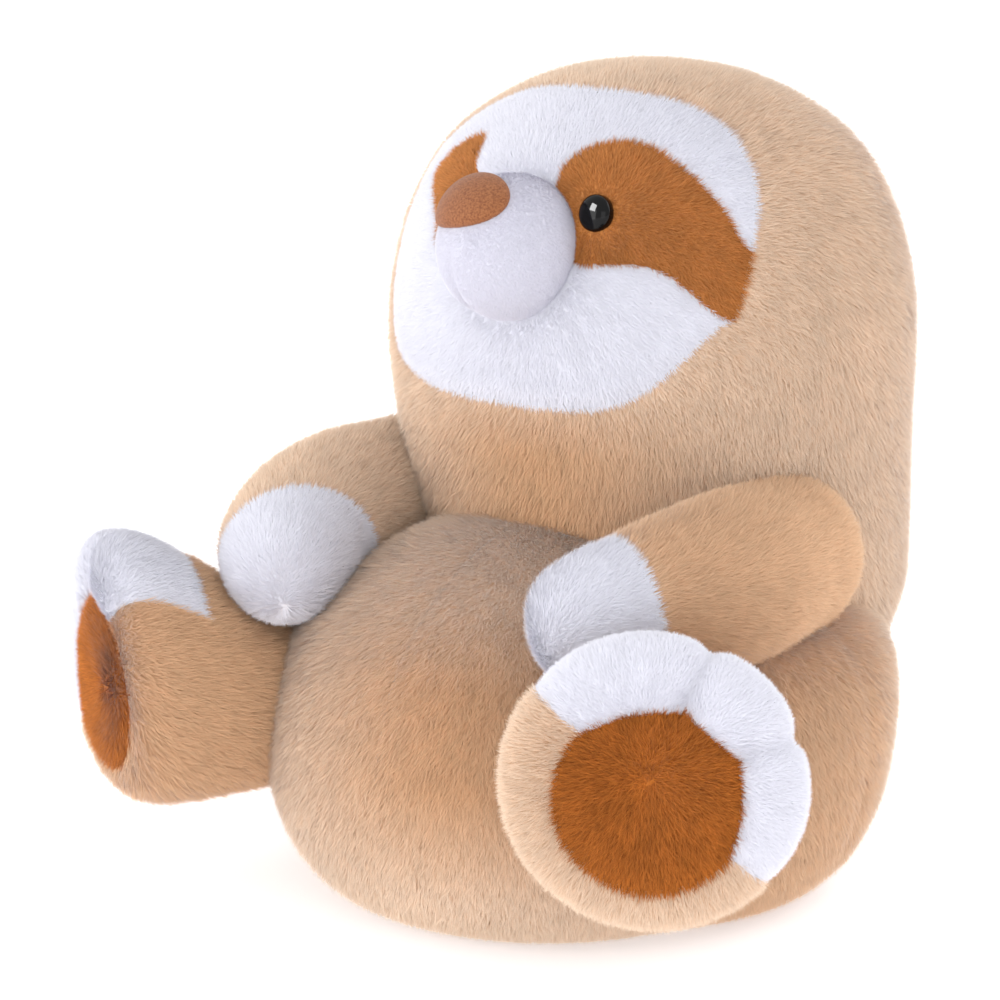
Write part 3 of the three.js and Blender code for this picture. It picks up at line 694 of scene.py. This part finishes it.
def pawDistance(local, side):
    # plus on the paw
    s = armSizes
    slant = s["farPawSlant"] if side == "right" else [0, 0]
    return local[:, 2] - (s["length"] - s["pawLength"]) + local[:, :2] @ slant


def armRegion(side):
    return lambda p: np.where(pawDistance(p, side) > 0, f"arm_{side}_paw", f"arm_{side}_sleeve").tolist()


def legRegion(side, sign):
    return lambda p: np.select([soleDistance(p, sign) < 0, toeDistance(p, sign) < 0],
                               [f"leg_{side}_sole", f"leg_{side}_toe_cap"], f"leg_{side}_cover").tolist()


def legPile(sign):
    return lambda skin: np.where(toeDistance(skin["local"], sign) < 0, pileShares["toeCap"], 1.0)


def even(value):
    return lambda skin: np.full(len(skin["local"]), value)


def radiateSole(skin, side, sign):
    # the sole's pile lies outwards from its crown
    basis, _ = limbBasis("leg", sign)
    local = skin["local"]
    out = unit((local - legSizes["soleCrown"][side]) * [1, 1, 0]) @ basis
    on = soleDistance(local, sign) < 1
    skin["nap"][on] = out[on]


# Muzzle

def muzzleSkin():
    s = muzzleSizes
    phi = circle(s["sides"])
    points = []
    for a in np.linspace(0, pi, s["rows"] + 2)[1:-1]:
        back = np.full(s["sides"], -np.cos(a))
        points.append(columns(np.sin(a) * np.cos(phi), back, -np.sin(a) * np.sin(phi)))
    ball = np.vstack([*points, [[0, -1, 0], [0, 1, 0]]])
    local = ball * muzzleHalf + muzzleCentre
    faces, _ = facingOut(local, closedGrid(s["rows"], s["sides"]))
    normals = unit(ball / muzzleHalf)
    lower = ramp(local[:, 2], muzzleCentre[2] + s["mouthTop"], -s["mouthFade"]) * (local[:, 1] < muzzleCentre[1])
    sink = groove(local[:, 0] - s["mouthShift"], s["mouthDepth"], s["mouthWidth"]) * lower - s["skinRise"]
    nap = laidOn([0.0, 0.0, -1.0] + s["napSpread"] * unit(ball * [1, 0, 1]), normals)
    return {"local": local, "points": local - sink[:, None] * normals, "nap": nap, "faces": faces,
            "normals": normals, "pile": np.ones(len(ball)), "wear": np.zeros(len(ball))}


# Materials: two for each colour, the knitted backing that the pile is worked into, and the pile's fibres

# sRGB of root, tip and a deeper tip for painted shade; spread of tones by area, by fibre and by tuft; sheen
plushLooks = table(("root", "tip", "shadedTip", "slow", "fibre", "tuft", "sheen"), [
    ("tanPlush", "#DAB28D", "#F0DCC7", "#E0B48A", 0.05, 0.06, 0.05, 1),
    ("whitePlush", "#E9E9F1", "#EAEAF2", "#EAEAF2", 0.02, 0.02, 0.015, 0.3),
    ("brownPlush", "#A8622A", "#D08B4C", "#C67F40", 0.08, 0.14, 0.09, 0.4),
    ("solePlush", "#96501A", "#C4742E", "#C4742E", 0.1, 0.2, 0.13, 0.4),
    ("muzzleVelour", "#D9D8E3", "#DFDEE9", "#DFDEE9", 0.01, 0.015, 0.01, 0.2)])
toneSizes = {
    "area": 0.055,  # metres across a lighter or deeper area
    "tuft": 0.007,  # metres across a tuft; a real one is finer and would not show
    "lighter": 0.3,  # of the spread by area that goes to the lighter side
    "noiseLow": 0.28, "noiseHigh": 0.72,  # nearly all of a noise lies between these
    "knit": 0.0012, "knitBump": 0.5, "knitHeight": 0.0005}
plushSurface = {"Sheen_Roughness": 0.35, "Specular_IOR_Level": 0.15}
suedeLooks = {"tones": [[0.36, "#7C482C"], [0.66, "#A66C44"]], "grain": 0.0008, "bump": 0.6, "height": 0.0004}


def newMaterial(name, **values):
    made = bpy.data.materials.new(name)
    made.use_nodes = True
    shader = made.node_tree.nodes["Principled BSDF"]
    for place, value in values.items():
        shader.inputs[place.replace("_", " ")].default_value = value
    return made, made.node_tree, shader


def spreadTone(tree, socket, low, high):
    # a tone from low to high out of a noise or a chance value
    return addNode(tree, "ShaderNodeMapRange", [
        ("Value", socket), ("From Min", toneSizes["noiseLow"]), ("From Max", toneSizes["noiseHigh"]),
        ("To Min", low), ("To Max", high)]).outputs[0]


def noise(tree, across, **settings):
    # a noise fixed to the piece, with spots so many metres across
    place = addNode(tree, "ShaderNodeTexCoord").outputs["Object"]
    return addNode(tree, "ShaderNodeTexNoise", [("Vector", place)], Scale=1 / across, **settings).outputs["Fac"]


def stored(tree, name):
    return addNode(tree, "ShaderNodeAttribute", attribute_name=name).outputs["Fac"]


def mixed(tree, share, low, high):
    return addNode(tree, "ShaderNodeMix", [("Factor", share), (6, low), (7, high)], data_type="RGBA").outputs[2]


def toned(tree, colour, tones):
    for tone in tones:
        colour = addNode(tree, "ShaderNodeVectorMath", [(0, colour), ("Scale", tone)], operation="SCALE").outputs[0]
    return colour


def plushColour(tree, look, along):
    # the dyed plush's colour from root to tip, its tip deepened where shade is painted, lighter and deeper by area and
    # by tuft
    tip = mixed(tree, stored(tree, "wear"), toLinear(look["tip"]), toLinear(look["shadedTip"]))
    colour = mixed(tree, along, toLinear(look["root"]), tip)
    slow, tuft = noise(tree, toneSizes["area"], Detail=1.0), noise(tree, toneSizes["tuft"], Detail=2.0)
    areas = spreadTone(tree, slow, 1 - look["slow"], 1 + toneSizes["lighter"] * look["slow"])
    tufts = spreadTone(tree, tuft, 1 - look["tuft"], 1 + look["tuft"])
    return toned(tree, colour, [areas, tufts])


def addGrain(tree, shader, colour, grain, strength, height):
    bump = addNode(tree, "ShaderNodeBump", [("Height", grain)], Strength=strength, Distance=height)
    tree.links.new(colour, shader.inputs["Base Color"])
    tree.links.new(bump.outputs[0], shader.inputs["Normal"])


def backingMaterial(name, look):
    # knitted polyester backing under the pile: matt, a fine knit grain, seen only where the pile parts
    made, tree, shader = newMaterial(name + "Backing", Roughness=0.9, Sheen_Weight=look["sheen"], **plushSurface)
    grain = noise(tree, toneSizes["knit"], Detail=2.0)
    colour = plushColour(tree, look, spreadTone(tree, grain, 0, 1))
    addGrain(tree, shader, colour, grain, toneSizes["knitBump"], toneSizes["knitHeight"])
    return made


def pileMaterial(name, look):
    # polyester pile fibres: deeper at the root, each a little different, with a soft velvet sheen
    made, tree, shader = newMaterial(name + "Pile", Roughness=0.8, Sheen_Weight=look["sheen"], **plushSurface)
    fibre = spreadTone(tree, stored(tree, "tone"), 1 - look["fibre"], 1 + look["fibre"])
    tree.links.new(toned(tree, plushColour(tree, look, stored(tree, "tip")), [fibre]), shader.inputs["Base Color"])
    return made


def suedeMaterial():
    # microfibre suede: matt, a fine mottled nap
    made, tree, shader = newMaterial("noseSuede", Roughness=0.85, Sheen_Weight=0.15, Specular_IOR_Level=0.2)
    grain = noise(tree, suedeLooks["grain"], Detail=4.0, Roughness=0.7)
    colour = addNode(tree, "ShaderNodeValToRGB", [("Fac", grain)])
    for element, (place, tint) in zip(colour.color_ramp.elements, suedeLooks["tones"]):
        element.position, element.color = place, toLinear(tint)
    addGrain(tree, shader, colour.outputs[0], grain, suedeLooks["bump"], suedeLooks["height"])
    return made


def eyeMaterial():
    # black ABS, moulded and polished: near-black with a hard clear highlight
    return newMaterial("eyePolishedPlastic", Base_Color=toLinear("#050506"), Roughness=0.06, IOR=1.46,
                       Specular_IOR_Level=0.25)[0]


# Pile: one tree of geometry nodes lays fibres over a panel

# fibres per square mm; mm long; mm wide (real ones are a tenth of that); wander and lean in degrees
pileSizes = table(("density", "length", "width", "wander", "lean"), [
    ("tanPlush", 4.3, 5.4, 0.34, 28, 15), ("whitePlush", 4.6, 4.0, 0.32, 28, 10),
    ("brownPlush", 5.0, 4.6, 0.3, 28, 15), ("solePlush", 5.0, 5.0, 0.3, 34, 16),
    ("muzzleVelour", 9.0, 1.5, 0.22, 50, 10)])
fibreSizes = {"root": [0.5, -0.04], "tip": [0.88, 0.46],  # shares of its width and length: half root, sunk; far, up
              "lengths": [0.72, 1.18], "widths": [0.8, 1.2], "shortest": 0.05,  # shares of the pile's own
              "quickShare": 0.35, "cellEdge": 0.08}


def fibreObject():
    # one fibre, a metre long and wide, laid along +Y and rising a little
    half, sunk = fibreSizes["root"]
    mesh = meshOf("fibre", [(-half, 0, sunk), (half, 0, sunk), (0, *fibreSizes["tip"])], [(0, 1, 2)])
    mesh.attributes.new("tip", "FLOAT", "POINT").data.foreach_set("value", [0, 0, 1])
    return linked("fibre", mesh)


def pileTree(fibre):
    tree = bpy.data.node_groups.new("laidPile", "GeometryNodeTree")
    ports = [("Geometry", "Geometry"), *[(name, "Float") for name in ("Density", "Length", "Width", "Wander", "Lean")],
             ("Seed", "Int"), ("Material", "Material")]
    tree.interface.new_socket("Geometry", in_out="OUTPUT", socket_type="NodeSocketGeometry")
    for name, kind in ports:
        tree.interface.new_socket(name, in_out="INPUT", socket_type="NodeSocket" + kind)
    given = addNode(tree, "NodeGroupInput").outputs

    def add(kind, *links, **settings):
        return addNode(tree, kind, links, **settings).outputs

    def named(name, kind):
        return add("GeometryNodeInputNamedAttribute", data_type=kind, Name=name)["Attribute"]

    def chance(low, high, shift):
        seed = add("ShaderNodeMath", (0, given["Seed"]), (1, shift), operation="ADD")[0]
        return add("FunctionNodeRandomValue", ("Seed", seed), (2, low), (3, high), data_type="FLOAT")[1]

    def times(a, b):
        return add("ShaderNodeMath", (0, a), (1, b), operation="MULTIPLY")[0]

    def eitherWay(most, shift):
        return chance(times(most, -1), most, shift)

    pile = named("pile", "FLOAT")
    spread = add("GeometryNodeDistributePointsOnFaces", ("Mesh", given["Geometry"]), ("Density", given["Density"]),
                 ("Seed", given["Seed"]), distribute_method="RANDOM")
    upright = add("FunctionNodeAlignRotationToVector", ("Vector", spread["Normal"]), axis="Z")
    laid = add("FunctionNodeAlignRotationToVector", ("Rotation", upright[0]), ("Vector", named("nap", "FLOAT_VECTOR")),
               axis="Y", pivot_axis="Z")
    turn = add("ShaderNodeCombineXYZ", ("X", eitherWay(given["Lean"], 1)), ("Z", eitherWay(given["Wander"], 2)))
    by = add("FunctionNodeEulerToRotation", (0, turn[0]))
    wandered = add("FunctionNodeRotateRotation", (0, laid[0]), (1, by[0]), rotation_space="LOCAL")
    length = times(times(given["Length"], pile), chance(*fibreSizes["lengths"], 3))
    width = times(given["Width"], chance(*fibreSizes["widths"], 4))
    scale = add("ShaderNodeCombineXYZ", ("X", width), ("Y", length), ("Z", length))
    shown = add("FunctionNodeCompare", (0, pile), (1, fibreSizes["shortest"]), data_type="FLOAT",
                operation="GREATER_THAN")
    source = add("GeometryNodeObjectInfo", ("Object", fibre))
    placed = add("GeometryNodeInstanceOnPoints", ("Points", spread["Points"]), ("Selection", shown[0]),
                 ("Instance", source["Geometry"]), ("Rotation", wandered[0]), ("Scale", scale[0]))
    tinted = add("GeometryNodeStoreNamedAttribute", ("Geometry", placed[0]), ("Value", chance(0.0, 1.0, 5)),
                 domain="INSTANCE", data_type="FLOAT", Name="tone")
    real = add("GeometryNodeRealizeInstances", ("Geometry", tinted[0]))
    dressed = add("GeometryNodeSetMaterial", ("Geometry", real[0]), ("Material", given["Material"]))
    add("NodeGroupOutput", (0, dressed[0]))
    return tree


def bakeMap(mesh):
    # each fibre gets a cell of its own in the map
    count = len(mesh.vertices) // 3
    cells = max(ceil(sqrt(count)), 1)
    corner = np.zeros(len(mesh.loops), np.int64)
    mesh.loops.foreach_get("vertex_index", corner)
    strand, place = corner // 3, corner % 3
    low, high = fibreSizes["cellEdge"], 1 - fibreSizes["cellEdge"]
    inCell = np.array([[low, low], [high, low], [0.5, high]])[place]
    uv = (columns(strand % cells, strand // cells) + inCell) / cells
    mesh.uv_layers.new(name="OFBake").data.foreach_set("uv", uv.astype(np.float32).ravel())


def layPile(cover, tree, plush, material, seed):
    # the fibres on a panel, as a plain mesh
    s = pileSizes[plush]
    thin = 1
    values = {"Density": s["density"] * 1e6 * thin, "Length": s["length"] * 0.001,
              "Width": s["width"] * 0.001 / thin ** 0.5, "Wander": radians(s["wander"]),
              "Lean": radians(s["lean"]), "Seed": seed, "Material": material}
    added = cover.modifiers.new("pile", "NODES")
    added.node_group = tree
    for item in tree.interface.items_tree:
        if item.in_out == "INPUT" and item.name in values:
            added[item.identifier] = values[item.name]
    shown = cover.evaluated_get(bpy.context.evaluated_depsgraph_get())
    mesh = bpy.data.meshes.new_from_object(shown)
    cover.modifiers.remove(added)
    mesh.name = cover.name + "_pile"
    for name in ("nap", "pile"):
        if name in mesh.attributes:
            mesh.attributes.remove(mesh.attributes[name])
    bakeMap(mesh)
    return linked(mesh.name, mesh)


# Nose and eyes

noseSizes = {"halfWidth": 16, "halfHeight": 12, "thickness": 5, "tilt": 47, "shift": -4.4, "rings": 16, "sides": 64,
             "back": -2, "backRings": [[0.7, -2], [0.97, -1.6]]}
eyeSizes = {"radius": 6.8, "dome": 3.7, "seat": 0.5, "farSeat": -0.8, "drop": 1.2, "turn": -3, "rise": 12,
            "sides": 48, "rings": 14, "back": -3.2, "backRings": [[0.55, -3.2], [0.9, -2.8], [1.0, -2.0]]}


def domeOutline(s, height, power):
    # shares of the half width, with heights: the back's rings, then the dome's
    return s["backRings"] + [(cos(a), height * sin(a) ** power) for a in np.linspace(0, pi / 2, s["rings"])[:-1]]


def nosePad(material):
    s, half = noseSizes, muzzleHalf
    tilt = radians(s["tilt"])
    out, up = np.array([0, -cos(tilt), sin(tilt)]), np.array([0, sin(tilt), cos(tilt)])
    phi = circle(s["sides"])

    def surface(share, height):
        wide = s["shift"] + s["halfWidth"] * share * np.cos(phi)
        flat = np.outer(wide, [1, 0, 0]) + np.outer(s["halfHeight"] * share * np.sin(phi), up)
        a = ((out / half) ** 2).sum()
        b = 2 * (flat * out / half ** 2).sum(1)
        c = ((flat / half) ** 2).sum(1) - 1
        t = (-b + np.sqrt(np.maximum(b ** 2 - 4 * a * c, 0))) / (2 * a)
        on = flat + t[:, None] * out
        return on + muzzleCentre + height * unit(on / half ** 2)

    outline = domeOutline(s, s["thickness"], 0.75)
    poles = [surface(0, s["back"])[0], surface(0, s["thickness"])[0]]
    return roundPiece("nose_pad", [surface(*row) for row in outline], poles, material)


def roundPiece(name, rings, poles, material):
    points = np.vstack([*rings, poles])
    mesh = smoothMesh(name, points, facingOut(points, closedGrid(len(rings), len(rings[0])))[0])
    mesh.materials.append(material)
    return linked(name, mesh)


def eyeDome(side, sign, tree, material):
    s = eyeSizes
    start = Vector((sign * faceSizes["eyeHalfSpan"], -300, faceSizes["eyeHeight"] - s["drop"]))
    seat = np.array(tree.ray_cast(start, Vector((0, 1, 0)))[0])
    out = directionOf(sign * s["turn"], s["rise"])
    seat = seat + out * (s["seat"] if side == "left" else s["farSeat"])
    across = unit(np.cross([0, 0, 1], out))
    up = np.cross(out, across)
    phi = circle(s["sides"])
    rings = [seat + out * h + s["radius"] * r * (np.outer(np.cos(phi), across) + np.outer(np.sin(phi), up))
             for r, h in domeOutline(s, s["dome"], 1)]
    return roundPiece("eye_dome_" + side, rings, [seat + out * s["back"], seat + out * s["dome"]], material)


# Studio

cameraSizes = {"azimuth": 37, "elevation": 13, "distance": 1.3, "target": [0, originShift[1] * 0.001, 0.15],
               "focalPixels": 3520, "centre": [570, 480], "pixels": 1000, "sensor": 36}
lampSizes = [  # name, direction from the toy (azimuth, elevation), distance, size in metres, power in watts
    ("left", -28, 8, 1.7, 1.1, 10.5), ("front", 36, 8, 1.9, 1.2, 4.5), ("right", 140, 30, 1.6, 1.2, 7),
    ("spark", -28, 34, 1.3, 0.5, 26)]
studioSizes = {"lampTarget": [0, 0, 0.12], "world": 1.0, "floorHalf": 6, "floorColour": [0.96, 0.955, 0.975, 1],
               "floorGlow": [1, 0.99, 1, 1], "glowStrength": 0.45}


def aimed(name, data, target, way, distance):
    # a camera or a lamp that looks at the target from a direction
    thing = linked(name, data)
    way = Vector(way)
    thing.location = Vector(target) + way * distance
    thing.rotation_euler = (-way).to_track_quat("-Z", "Y").to_euler()
    return thing


def studio():
    scene, c, s = bpy.context.scene, cameraSizes, studioSizes
    data = bpy.data.cameras.new("camera")
    data.sensor_width = c["sensor"]
    data.lens = c["focalPixels"] / c["pixels"] * c["sensor"]
    data.shift_x = (c["pixels"] / 2 - c["centre"][0]) / c["pixels"]
    data.shift_y = (c["centre"][1] - c["pixels"] / 2) / c["pixels"]
    scene.camera = aimed("camera", data, c["target"], directionOf(c["azimuth"], c["elevation"]), c["distance"])
    for name, azimuth, elevation, distance, size, power in lampSizes:
        light = bpy.data.lights.new(name, "AREA")
        light.shape, light.size, light.energy = "SQUARE", size, power
        lamp = aimed(name, light, s["lampTarget"], directionOf(azimuth, elevation), distance)
        lamp.visible_diffuse = name != "spark"  # the spark is only mirrored, in the eyes
    scene.world = bpy.data.worlds.new("studio")
    scene.world.use_nodes = True
    sky = scene.world.node_tree.nodes["Background"].inputs
    sky["Color"].default_value, sky["Strength"].default_value = (1, 1, 1, 1), s["world"]
    scene.view_settings.view_transform = "Standard"
    far = s["floorHalf"]
    floorMesh = meshOf("floor", [(-far, -far, 0), (far, -far, 0), (far, far, 0), (-far, far, 0)], [(0, 1, 2, 3)])
    floorMesh.materials.append(newMaterial(
        "paintedFloor", Base_Color=s["floorColour"], Roughness=0.9, Specular_IOR_Level=0.1,
        Emission_Color=s["floorGlow"], Emission_Strength=s["glowStrength"])[0])
    floor = linked("floor", floorMesh)


# Putting it together

panelPlush = [(part, *row) for parts, *row in (  # name parts, plush, record slot, fill
    ("muzzle", "muzzleVelour", "muzzle_velour", 0.9), ("belly rump hood chest", "tanPlush", "tan_plush", 0.9),
    ("base_panel", "tanPlush", "tan_plush", 0.7), ("forehead cheek", "whitePlush", "white_plush", 0.9),
    ("eye_patch", "brownPlush", "brown_plush", 0.9), ("sleeve", "tanPlush", "tan_plush", 0.8),
    ("paw", "whitePlush", "white_plush", 0.8), ("_cover", "tanPlush", "tan_plush", 0.85),
    ("toe_cap", "whitePlush", "white_plush", 0.85), ("sole", "solePlush", "brown_plush", 0.85),
) for part in parts.split()]


def bodyOf(name):
    bodies = [f"{limb}_{side}" for limb in ("arm", "leg") for side in signs]
    return next((body for body in bodies if name.startswith(body)), "trunk")


wallThickness = 0.002  # metres of cloth, inwards from a skin's face


def dress(name, skin, looks, tree, seed):
    plush, slot, fill = next(row[1:] for row in panelPlush if row[0] in name)
    cover = clothObject(name + "_plush", skin)
    cover.data.materials.append(looks[plush][0])
    pile = layPile(cover, tree, plush, looks[plush][1], seed) if name != "base_panel" else None
    wall = cover.modifiers.new("wall", "SOLIDIFY")
    wall.thickness, wall.offset = wallThickness, -1
    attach(cover, bodyOf(name))
    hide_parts(name)
    if pile:
        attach(pile, bodyOf(name))
    return cover, pile


def level(axis, at):
    return lambda p: p[:, axis] - at


def main():
    studio()
    print("sloth: skins")
    trunk = trunkSkin()
    trunkTree = searchTree(trunk)
    cuts = [level(2, trunkSizes["baseTop"]), lowerDistance, level(1, trunkSizes["sideSeam"]), level(0, 0),
            level(2, trunkSizes["chestTop"]), faceDistance, lambda p: patchDistance(p, "left"),
            lambda p: patchDistance(p, "right"), level(2, faceSizes["cheekTop"]),
            lambda p: muzzleDistance(p) + muzzleSizes["holeInset"]]
    cuts += [lambda p, limb=limb, sign=sign: ballDistance(p, limb, sign) for limb, sign in limbSides]
    finishSkin(trunk, cuts, trunkPile, trunkPaintedShade)
    panels = piecesOf(trunk, trunkRegion)
    for side, sign in signs.items():
        arm = limbSkin("arm", sign, [trunkTree])
        armTree = searchTree(arm)
        finishSkin(arm, [lambda p: pawDistance(p, side)], even(1.0), even(armSizes["wear"][side]))
        panels.update(piecesOf(arm, armRegion(side)))
        leg = limbSkin("leg", sign, [trunkTree, armTree])
        radiateSole(leg, side, sign)
        finishSkin(leg, [lambda p: soleDistance(p, sign), lambda p: toeDistance(p, sign)], legPile(sign),
                   even(legSizes["wear"][side]), [legSizes["soleCrown"][side]])
        panels.update(piecesOf(leg, legRegion(side, sign)))
    panels["muzzle_cover"] = muzzleSkin()
    print("sloth: pile")
    looks = {name: (backingMaterial(name, look), pileMaterial(name, look)) for name, look in plushLooks.items()}
    fibre = fibreObject()
    tree = pileTree(fibre)
    covers, total = {}, 0
    for seed, (name, skin) in enumerate(sorted(panels.items())):
        cover, pile = dress(name, skin, looks, tree, seed)
        covers[name] = cover
        count = len(pile.data.polygons) if pile else 0
        total += count
        print(f"  {name}: {len(skin['faces'])} faces, pile {count} triangles")
    print("sloth: pile triangles", total)
    bpy.data.objects.remove(fibre)
    print("sloth: nose and eyes")
    nose = nosePad(suedeMaterial())
    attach(nose, "trunk")
    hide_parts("nose")
    plastic = eyeMaterial()
    for side, sign in signs.items():
        eye = eyeDome(side, sign, trunkTree, plastic)
        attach(eye, "trunk")
        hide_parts("eye_" + side, "eye_washer_" + side)
    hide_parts("lower_stuffing", "pellet_bag")
    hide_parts("upper_stuffing")
    for side in signs:
        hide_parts(f"arm_{side}_stuffing")
        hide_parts(f"leg_{side}_stuffing")


main()
